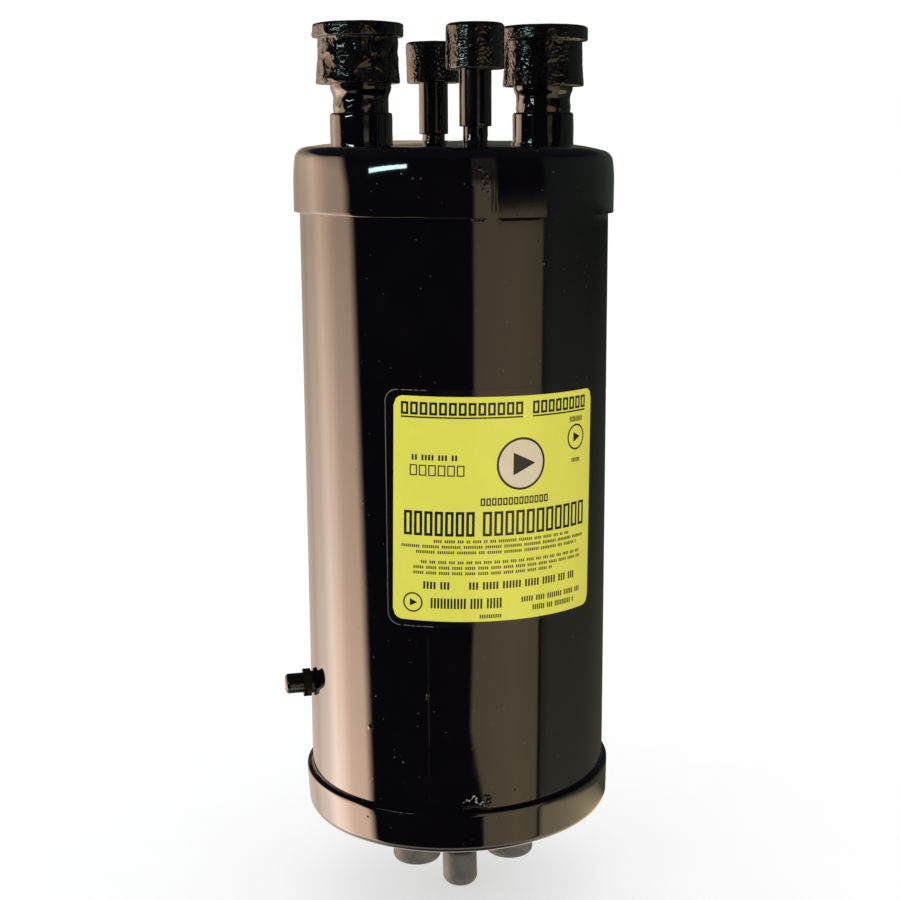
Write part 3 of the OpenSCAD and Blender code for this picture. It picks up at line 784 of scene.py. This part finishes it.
def add_glint_crust(material):
    """Ragged line of pale nibs on the shell above the bottom head: a painted highlight standing for
    glints on clots of paint.
    """
    # Azimuth and height of the points along the line
    places = (
        (-10.7, 46.1), (-9.5, 47.1), (-8.7, 46.4), (-7.6, 48.3), (-6.3, 48.8), (-5.5, 47.6),
        (-6.7, 46.7), (-4.7, 45.1), (-3.7, 46.1), (-2.9, 44.3), (-2.3, 43.4),
    )
    out = [], []
    count = 4
    for (a0, z0), (a1, z1) in zip(places, places[1:]):
        for k in range(count):
            share = k / count
            spot = Vector((5 * a0 + 7 * share, z0, 0))
            size = 0.24 + 0.3 * wrinkle(spot, 45, 1.3)
            if size < 0.1:
                continue
            azimuth = a0 + (a1 - a0) * share + 0.8 * wrinkle(spot, 46, 1.3)
            z = z0 + (z1 - z0) * share + 0.9 * wrinkle(spot, 47, 1.3)
            add_nib(azimuth, z, SHELL_R, size, 0.25, out)
    make("painted_glint_crust", *out, material, sharp=60)


def add_seam_shade(material):
    """Near-black, nearly matte strip under the top head's lip, where the filler left the joint
    open: painted shade in that gap.
    """
    start, end, count = 2.4, 19.8, 60
    verts, faces = [], []
    for k in range(count + 1):
        share = k / count
        azimuth = start + (end - start) * share
        uneven = 1 + 0.25 * wrinkle(Vector((azimuth, 0, 0)), 91, 3.0)
        drop = 1.15 * min(1.0, share * 14, (1 - share) * 6) * uneven
        for z in (SKIRT_Z + 0.3, SKIRT_Z - drop):
            verts.append(tip_top(on_wall(azimuth, z, SHELL_R + 0.75)))
        verts.append(tip_top(on_wall(azimuth, SKIRT_Z - drop - 0.05, SHELL_R - 0.2)))
    for k in range(count):
        a = 3 * k
        faces += [(a, a + 1, a + 4, a + 3), (a + 1, a + 2, a + 5, a + 4)]
    make("open_seam_shade", verts, faces, material)


# Label

LABEL_TURN = radians(4.8 - 90)
# The print sits below the middle of the film by this much
PRINT_DROP = 0.5
LABEL_Z = center_of("data_label").z - PRINT_DROP
FILM_W, FILM_H, FILM_CORNER = 95.2, 94.4, 5.0
FIELD_W, FIELD_H, FIELD_CORNER = 89.1, 89.3, 4.0
# Slope of the print on the film, down to the right
PRINT_SLOPE = 0.018
# Heights of the layers off the shell, clear of the film's facets
FIELD_LIFT, EMBLEM_LIFT, PRINT_LIFT = 0.23, 0.24, 0.25
# Header rows of frames: left, right, count
HEADER_ROWS = ((-41.5, 7.4, 13), (11, 40.5, 8))
# Other rows of frames: left, right, foot, height, count, stroke
FRAME_ROWS = (
    (-40, -11.4, -10.2, 9.8, 7, 1.05), (-9, 40.8, -10.2, 9.8, 11, 1.05),
    (-37.8, -15.7, 13.6, 4.3, 6, 0.45), (-10, 19.2, 1.9, 3, 13, 0.55),
)
# Marks: middle and radii of a ring, and the left end and size of the triangle in it
MARKS = (
    (6.5, 18, 9.5, 10.4, 3, 9.5, 9), (34, 26, 4.5, 5.2, 32.4, 4, 4),
    (-36.2, -37.4, 3.4, 4, -37.4, 3, 3),
)
# Rows of strokes: left, right, foot, height, pitch, strokes in each word
STROKE_ROWS = (
    (30, 39, 32.2, 2.2, 0.9, (9,)), (31.5, 37, 16, 1.6, 0.9, (9,)),
    (-37, -17, 19.7, 2.2, 1.3, (2, 4, 3)),
    (-28, 31, -12.9, 1.2, 0.85, (4, 5, 3, 2, 4, 2, 3, 9, 7)),
    (-41, 40, -15.1, 1.2, 0.85, (9, 8, 9)), (-35, 36, -17.3, 1.2, 0.85, (9, 8, 9, 3, 7)),
    (-33, 38, -21.3, 1.2, 0.85, (3, 3, 4, 3, 3)), (-36, 38, -23.5, 1.2, 0.85, (5, 5, 5)),
    (-36, 22, -25.7, 1.2, 0.85, (5, 5, 5)), (-32, -19.5, -31.6, 3, 1.35, (4, 3)),
    (-14, 35, -31.6, 3, 1.35, (3, 5, 6, 5, 5)), (-29, 0, -39.4, 4.2, 1.3, (11, 4, 6)),
    (7.5, 38.8, -37.8, 2.2, 1.1, (5, 4, 7)), (12.5, 34.5, -41.6, 2.2, 1.0, (6, 3, 9)),
    (-9.7, 0, -43.4, 1.6, 0.9, (99,)),
)


def on_label(u, v, lift, slope=PRINT_SLOPE):
    """Point on the label: u along the arc, v up, lift off the shell."""
    radius = SHELL_R + lift
    angle = LABEL_TURN + (u + slope * v) / SHELL_R
    return Vector((radius * cos(angle), radius * sin(angle), LABEL_Z + v - slope * u))


def slices(points, count, lift, out):
    """Adds a strip between lower and upper points given by a function of a share from 0 to 1."""
    verts, faces = out
    base = len(verts)
    for k in range(count + 1):
        u, low, high = points(k / count)
        verts += [on_label(u, low, lift), on_label(u, high, lift)]
    for k in range(count):
        a = base + 2 * k
        faces.append((a, a + 2, a + 3, a + 1))


def bar(u0, v0, u1, v1, out):
    """Printed rectangle."""
    count = max(1, ceil(abs(u1 - u0) / 2))
    slices(lambda t: (u0 + (u1 - u0) * t, v0, v1), count, PRINT_LIFT, out)


def field_slice(t):
    """Slice of the yellow field, which has rounded corners, at a share of its width."""
    u = FIELD_W * (t - 0.5)
    into = abs(u) - (FIELD_W / 2 - FIELD_CORNER)
    drop = FIELD_CORNER - sqrt(max(0.0, FIELD_CORNER ** 2 - into ** 2)) if into > 0 else 0.0
    return u, drop - FIELD_H / 2, FIELD_H / 2 - drop


def ring_shape(u, v, inner, outer, out):
    """Printed ring."""
    verts, faces = out
    base = len(verts)
    count = 48
    for k in range(count):
        a = 2 * pi * k / count
        for r in (inner, outer):
            verts.append(on_label(u + r * cos(a), v + r * sin(a), PRINT_LIFT))
    for k in range(count):
        a = base + 2 * k
        b = base + 2 * ((k + 1) % count)
        faces.append((a, a + 1, b + 1, b))


def outline(width, height, corner):
    """Points round a rectangle with rounded corners."""
    points = []
    for turn, su, sv in ((0, 1, 1), (90, -1, 1), (180, -1, -1), (270, 1, -1)):
        for k in range(9):
            a = radians(turn + 90 * k / 8)
            u = su * (width / 2 - corner) + corner * cos(a)
            points.append((u, sv * (height / 2 - corner) + corner * sin(a)))
    loop = []
    for (u0, v0), (u1, v1) in zip(points, points[1:] + points[:1]):
        count = max(1, ceil(hypot(u1 - u0, v1 - v0) / 2))
        loop += [(u0 + (u1 - u0) * k / count, v0 + (v1 - v0) * k / count) for k in range(count)]
    return loop


def add_film_edge_highlight(material):
    """Pale strip on the raised cut edge of the clear film, on the left only: a painted highlight
    where the edge catches the light.
    """
    outer = outline(FILM_W - 0.06, FILM_H - 0.06, FILM_CORNER)
    shrink_u, shrink_v = 1 - 0.5 / FILM_W, 1 - 0.5 / FILM_H
    right_end = -30
    verts = []
    for u, v in outer:
        verts.append(on_label(u, v + PRINT_DROP, 0.206, 0))
        verts.append(on_label(u * shrink_u, v * shrink_v + PRINT_DROP, 0.212, 0))
    count = len(outer)
    shown = [k for k in range(count) if outer[k][0] < right_end]
    faces = [(2 * ((k + 1) % count), 2 * ((k + 1) % count) + 1, 2 * k + 1, 2 * k) for k in shown]
    make("label_edge_highlight", verts, faces, material, slot="label_film")


def print_row(u0, u1, v, height, pitch, words, out):
    """Row of upright strokes set in word-like groups."""
    u = u0
    k = 0
    while u + pitch <= u1:
        for _ in range(words[k % len(words)]):
            if u + pitch > u1:
                break
            bar(u, v, u + 0.58 * pitch, v + height, out)
            u += pitch
        u += pitch
        k += 1


def frame_row(u0, u1, v, height, count, stroke, out):
    """Row of empty frames, each the size of a letter."""
    pitch = (u1 - u0) / count
    width = 0.8 * pitch
    for k in range(count):
        u = u0 + pitch * k
        bar(u, v, u + stroke, v + height, out)
        bar(u + width - stroke, v, u + width, v + height, out)
        bar(u + stroke, v, u + width - stroke, v + stroke, out)
        bar(u + stroke, v + height - stroke, u + width - stroke, v + height, out)


def disc_slice(u, v, radius):
    """Function of a share from 0 to 1 that gives the slices of a disc."""
    def at(t):
        across = radius * (2 * t - 1)
        half = sqrt(max(0.0, radius ** 2 - across ** 2))
        return u + across, v - half, v + half
    return at


def triangle(u, v, width, height, out):
    """Printed triangle that points right."""
    def at(t):
        half = height / 2 * (1 - t)
        return u + width * t, v - half, v + half
    slices(at, 14, PRINT_LIFT, out)


def add_label(field_look, ink_look, pale_look):
    """Yellow field with a pale disc and generic print: frames, strokes, rings and triangles."""
    out = [], []
    slices(field_slice, 96, FIELD_LIFT, out)
    make("label_field", *out, field_look, slot="label_film")
    out = [], []
    slices(disc_slice(6.5, 18, 9.6), 32, EMBLEM_LIFT, out)
    make("label_emblem", *out, pale_look, slot="label_film")
    out = [], []
    for u0, u1, count in HEADER_ROWS:
        frame_row(u0, u1, 37.4, 5, count, 0.9, out)
        bar(u0, 36.2, u1 - 0.8, 36.8, out)
    for row in FRAME_ROWS:
        frame_row(*row, out)
    for u, v, inner, outer, left, width, height in MARKS:
        ring_shape(u, v, inner, outer, out)
        triangle(left, v, width, height, out)
    for row in STROKE_ROWS:
        print_row(*row, out)
    make("label_print", *out, ink_look, slot="label_film")


# Studio

# Room that gloss shows: degrees right of the camera, colour at the horizon, colour well below
ROOM = [
    (-180, (0.3, 0.24, 0.175), (0.62, 0.5, 0.42)),
    (-165, (0.44, 0.34, 0.25), (0.86, 0.68, 0.56)),
    (-149, (0.61, 0.45, 0.33), (1.25, 0.95, 0.77)),
    (-130, (1.4, 1.03, 0.77), (2.95, 2.3, 1.9)),
    (-118, (2.6, 1.9, 1.37), (5.6, 4.3, 3.6)),
    (-108, (2.65, 1.85, 1.33), (5.9, 4.3, 3.4)),
    (-100, (2.35, 1.63, 1.17), (5.1, 3.55, 2.65)),
    (-85, (2.65, 1.84, 1.32), (5.5, 3.8, 2.75)),
    (-78, (0.008, 0.008, 0.012), (0.008, 0.008, 0.012)),
    (13.2, (0.01, 0.009, 0.012), (0.012, 0.01, 0.01)),
    (15.2, (0.62, 0.48, 0.3), (0.74, 0.58, 0.35)),
    (45, (0.68, 0.52, 0.31), (0.9, 0.7, 0.43)),
    (64.5, (0.5, 0.38, 0.23), (0.72, 0.56, 0.34)),
    (65.8, (0.06, 0.06, 0.05), (0.03, 0.03, 0.02)),
    (67.3, (0.06, 0.06, 0.05), (0.03, 0.03, 0.02)),
    (68.5, (0.06, 0.065, 0.05), (0.17, 0.15, 0.11)),
    (76, (0.07, 0.085, 0.06), (0.26, 0.23, 0.165)),
    (120, (0.02, 0.025, 0.018), (0.12, 0.115, 0.085)),
    (180, (0.008, 0.008, 0.006), (0.045, 0.04, 0.032)),
]
ROOM_GAIN = 8.0


def room_ramp(tree, share, column):
    """Colour ramp over one column of the room's colours."""
    ramp = put(tree, "ShaderNodeValToRGB", {0: share})
    elements = ramp.color_ramp.elements
    while len(elements) < len(ROOM):
        elements.new(0.5)
    for k in range(len(ROOM)):
        elements[k].position = k / len(ROOM)
    for k in reversed(range(len(ROOM))):
        elements[k].position = (ROOM[k][0] + 180) / 360
    for element, row in zip(elements, ROOM):
        element.color = (*(c / ROOM_GAIN for c in row[column]), 1)
    values = {0: ramp.outputs[0], 1: (ROOM_GAIN, ROOM_GAIN, ROOM_GAIN)}
    return put(tree, "ShaderNodeVectorMath", values, operation="MULTIPLY").outputs[0]


def band(tree, angle, low, high, start, end):
    """Spread of an angle, with its start and end in degrees."""
    return spread(tree, angle, low, high, radians(start), radians(end))


def along(tree, direction, axis):
    """Part of a direction that lies along an axis."""
    values = {0: direction, 1: axis}
    return put(tree, "ShaderNodeVectorMath", values, operation="DOT_PRODUCT").outputs["Value"]


def room_share(tree, turn, rise, left):
    """Place of a direction on the room's ramps, from 0 to 1; the room's edges lean and bend."""
    drift = math_node(tree, "MULTIPLY_ADD", rise, 0.447, 0.447 * radians(0.87))
    leaning = math_node(tree, "MULTIPLY_ADD", drift, left, turn)
    below = band(tree, rise, radians(-9.5), 0.0, -23.4, -21.3)
    slant = band(tree, rise, radians(3.8), 0.0, -21, -15.5)
    front = band(tree, turn, 1.0, 0.0, 20, 60)
    front = math_node(tree, "MULTIPLY", front, math_node(tree, "GREATER_THAN", turn, 0.0))
    bend = math_node(tree, "MULTIPLY", math_node(tree, "ADD", below, slant), front)
    leaning = math_node(tree, "ADD", leaning, bend)
    side = band(tree, turn, 0.0, -0.205, 40, 58)
    tilt = math_node(tree, "MULTIPLY", math_node(tree, "ADD", rise, radians(16.5)), side)
    leaning = math_node(tree, "ADD", leaning, tilt)
    return math_node(tree, "MULTIPLY_ADD", leaning, 0.5 / pi, 0.5)


def room_walls(tree, turn, rise):
    """Walls of the room: windows on the left, and on the right a pale wall that ends at a sill."""
    left = math_node(tree, "LESS_THAN", turn, 0.0)
    share = room_share(tree, turn, rise, left)
    depth = band(tree, rise, 1.0, 0.0, -23, -3)
    walls = blend_colors(tree, depth, room_ramp(tree, share, 1), room_ramp(tree, share, 2))
    sill = band(tree, turn, radians(-0.8), radians(-2.75), 28.5, 31)
    over = band(tree, math_node(tree, "SUBTRACT", rise, sill), 0.0, 1.0, 0, 0.4)
    over = math_node(tree, "MULTIPLY", over, band(tree, turn, 0.0, 1.0, 11.7, 13.7))
    far_side = band(tree, turn, 0.0, 1.0, 64, 69)
    shade = blend_colors(tree, far_side, (0.004, 0.004, 0.007), (0.055, 0.065, 0.05))
    near_side = band(tree, turn, 1.0, 0.0, 28.5, 31)
    near_side = math_node(tree, "MULTIPLY", near_side, band(tree, rise, 1.0, 0.22, -0.6, 3))
    shade = blend_colors(tree, near_side, shade, (0.5, 0.39, 0.25))
    walls = blend_colors(tree, over, walls, shade)
    low = math_node(tree, "MULTIPLY", band(tree, rise, 1.0, 0.0, -25.2, -23.6), far_side)
    walls = blend_colors(tree, low, walls, (1.2, 0.95, 0.58))
    high = math_node(tree, "MULTIPLY", band(tree, rise, 0.0, 0.5, 5, 14), left)
    return blend_colors(tree, high, walls, (0, 0, 0))


def studio_world():
    """White for the camera, soft daylight for surfaces, and a room with a window wall for gloss."""
    world = bpy.data.worlds.new("studio")
    bpy.context.scene.world = world
    world.use_nodes = True
    tree = world.node_tree
    direction = put(tree, "ShaderNodeTexCoord").outputs["Generated"]
    sin_a, cos_a = sin(VIEW_AZIMUTH), cos(VIEW_AZIMUTH)
    to_right = along(tree, direction, (cos_a, sin_a, 0))
    to_view = along(tree, direction, (sin_a, -cos_a, 0))
    turn = math_node(tree, "ARCTAN2", to_right, to_view)
    up = put(tree, "ShaderNodeSeparateXYZ", {0: direction}).outputs[2]
    rise = math_node(tree, "ARCSINE", up)
    walls = room_walls(tree, turn, rise)
    ceiling = band(tree, rise, 0.0, 1.0, 16, 23)
    upper = blend_colors(tree, ceiling, walls, (0.02, 0.022, 0.025))
    beneath = band(tree, rise, 1.0, 0.0, -68, -55)
    earth = blend_colors(tree, beneath, (1.1, 1.0, 0.86), (0.1, 0.095, 0.085))
    ground = band(tree, rise, 1.0, 0.0, -47, -37)
    around = blend_colors(tree, ground, upper, earth)
    ray = put(tree, "ShaderNodeLightPath").outputs
    mirror = math_node(tree, "MAXIMUM", ray["Is Glossy Ray"], ray["Is Transmission Ray"])
    seen = blend_colors(tree, mirror, (0.9, 0.9, 0.91), around)
    seen = blend_colors(tree, ray["Is Camera Ray"], seen, (1, 1, 1))
    tree.links.new(seen, tree.nodes["Background"].inputs["Color"])


def add_lamp(name, width, height, radiance, azimuth, elevation, roll):
    """Cool tube lamp that faces the top of the vessel, from an azimuth right of the camera."""
    distance, middle, spot = 1.25, 0.305, Vector((0, 0, 0.3))
    a = VIEW_AZIMUTH + radians(azimuth)
    e = radians(elevation)
    level = distance * cos(e)
    data = bpy.data.lights.new(name, "AREA")
    data.shape = "RECTANGLE"
    data.size = width
    data.size_y = height
    data.energy = pi * width * height * radiance
    data.color = (0.74, 1.0, 0.98)
    lamp = bpy.data.objects.new(name, data)
    lamp.location = (level * sin(a), -level * cos(a), middle + distance * sin(e))
    lamp.rotation_euler = (spot - lamp.location).to_track_quat("-Z", "Y").to_euler()
    lamp.rotation_euler.rotate_axis("Z", radians(roll))
    link(lamp)


def add_floor():
    """Pale floor under the stud's cap, out of the gloss."""
    size = 12.0
    mesh = bpy.data.meshes.new("floor")
    corners = ((-size, -size), (size, -size), (size, size), (-size, size))
    mesh.from_pydata([(x, y, FLOOR_Z) for x, y in corners], [], [(0, 1, 2, 3)])
    material, tree, shader, where = new_material("floor_paper")
    grain = spread(tree, noise_node(tree, where, 30.0, 3.0), 0, 1)
    wire(tree, shader, {
        "Base Color": blend_colors(tree, grain, (0.6, 0.6, 0.596), (0.58, 0.58, 0.576)),
        "Roughness": 0.9,
        "Specular IOR Level": 0.0,
        "Emission Color": (1.0, 1.0, 1.0),
        "Emission Strength": 0.5,
    })
    mesh.materials.append(material)
    floor = bpy.data.objects.new("floor", mesh)
    floor.visible_glossy = False
    link(floor)


def dress(looks):
    """Gives each CAD node its material."""
    for name, node in nodes.items():
        node.data.materials.clear()
        node.data.materials.append(looks[name])


paint = enamel("black_enamel")
soft_paint = enamel("black_enamel_thick", 60e-6, 3e-6)
wet_rubber = cap_rubber("cap_rubber_wet", 110e-6, 130e-6)
crackled_rubber = cap_rubber("cap_rubber_crackled", 60e-6, 230e-6)
# Grey-brown dust on black paint, made lighter as a painted reflection of the pale floor; used on
# the feet and the stud.
dust_and_floor_sheen_paint = dusty("dust_and_floor_sheen_paint", (0.09, 0.08, 0.066), (0.18, 0.163, 0.138), 0.55)
# Near-black matte look: painted shade in the open gap under the top head's lip.
seam_shade = dusty("seam_shadow", (0.001, 0.001, 0.001), (0.004, 0.003, 0.003), 0.7, 0.05)
# Pale grey look of the crust above the bottom head: painted highlight for glints on paint clots.
glint_crust = dusty("painted_glint_crust", (0.1, 0.1, 0.085), (0.42, 0.41, 0.36), 0.5)
plug_paint = cap_rubber("plug_paint", 40e-6, 30e-6)
# Painted-over vinyl with dust, made lighter as a painted reflection of the pale floor.
vinyl = dusty("cap_vinyl_floor_sheen", (0.085, 0.078, 0.065), (0.165, 0.15, 0.128), 0.5)
stub_paint = painted_stub("suction_stub_paint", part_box("inlet_cap")[0].z + 2 * MM)
inlet_paint = painted_stub("liquid_inlet_paint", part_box("liquid_inlet_cap")[0].z + 2 * MM)
outlet_paint = painted_stub("liquid_outlet_paint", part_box("liquid_outlet_cap")[0].z + 2 * MM)
copper = metal("drawn_copper", (0.7, 0.38, 0.24), (0.45, 0.22, 0.13), 0.22)
brass = metal("plain_brass", (0.7, 0.52, 0.24), (0.45, 0.32, 0.14), 0.25)
steel = metal("bare_steel", (0.5, 0.5, 0.52), (0.3, 0.3, 0.3), 0.3)
solder = metal("cast_solder", (0.55, 0.55, 0.57), (0.35, 0.35, 0.36), 0.4, (200.0, 200.0, 200.0))
clear_film = film("clear_border", (0.002, 0.0018, 0.0026), (0.004, 0.0036, 0.0042), 0.05, 1.0)
yellow = film("label_yellow", (0.76, 0.72, 0.075), (0.72, 0.68, 0.07), 0.25)
ink = film("label_ink", (0.006, 0.006, 0.006), (0.012, 0.012, 0.011), 0.3)
emblem = film("label_emblem", (0.72, 0.6, 0.4), (0.66, 0.54, 0.36), 0.3)
# Pale brown look: painted highlight along the clear film's cut edge.
edge_highlight = film("film_edge_highlight", (0.2, 0.18, 0.15), (0.11, 0.1, 0.085), 0.3)

looks = {name: paint for name in nodes}
looks.update(dict.fromkeys(("inlet_drop_tube", "u_tube", "liquid_coil"), copper))
looks.update(dict.fromkeys(("foot_front_left", "foot_front_right", "foot_rear"), dust_and_floor_sheen_paint))
looks.update({
    "oil_strainer": brass, "inlet_deflector": steel, "fusible_core": solder,
    "plug_boss": plug_paint, "fusible_plug": plug_paint, "data_label": clear_film,
    "mounting_stud": dust_and_floor_sheen_paint, "stud_cap": vinyl,
    "inlet_cap": wet_rubber, "outlet_cap": crackled_rubber,
    "liquid_inlet_cap": crackled_rubber, "liquid_outlet_cap": crackled_rubber,
})

add_camera()
dress(looks)
add_caps(wet_rubber, crackled_rubber)
lump_turn = VIEW_AZIMUTH + radians(-150)
to_left = Vector((cos(lump_turn), sin(lump_turn), 0))
add_suction_fitting("suction_inlet_fitting", stub_paint, 3, 0.9, to_left)
add_suction_fitting("suction_outlet_fitting", stub_paint, 8, 0.5, None)
add_collar("inlet_collar", soft_paint, 61)
add_collar("outlet_collar", soft_paint, 67)
add_liquid_fitting("liquid_inlet_fitting", 6.0, inlet_paint, 71)
add_liquid_fitting("liquid_outlet_fitting", 3.7, outlet_paint, 77)
add_heads(paint)
add_braze("top_braze_ring", SKIRT_Z, 1, 0.4, tip_top, soft_paint, 81)
add_braze("bottom_braze_ring", RIM_Z, -1, 0.2, tip_bottom, soft_paint, 87)
add_feet(dust_and_floor_sheen_paint)
add_stud(dust_and_floor_sheen_paint)
add_stud_cap(vinyl)
add_paint_faults(paint)
add_seam_shade(seam_shade)
add_glint_crust(glint_crust)
add_label(yellow, ink, emblem)
add_film_edge_highlight(edge_highlight)
studio_world()
add_lamp("tube", width=0.62, height=0.05, radiance=13.0, azimuth=-46, elevation=8, roll=7)
add_floor()
bpy.context.scene.view_settings.view_transform = "Standard"
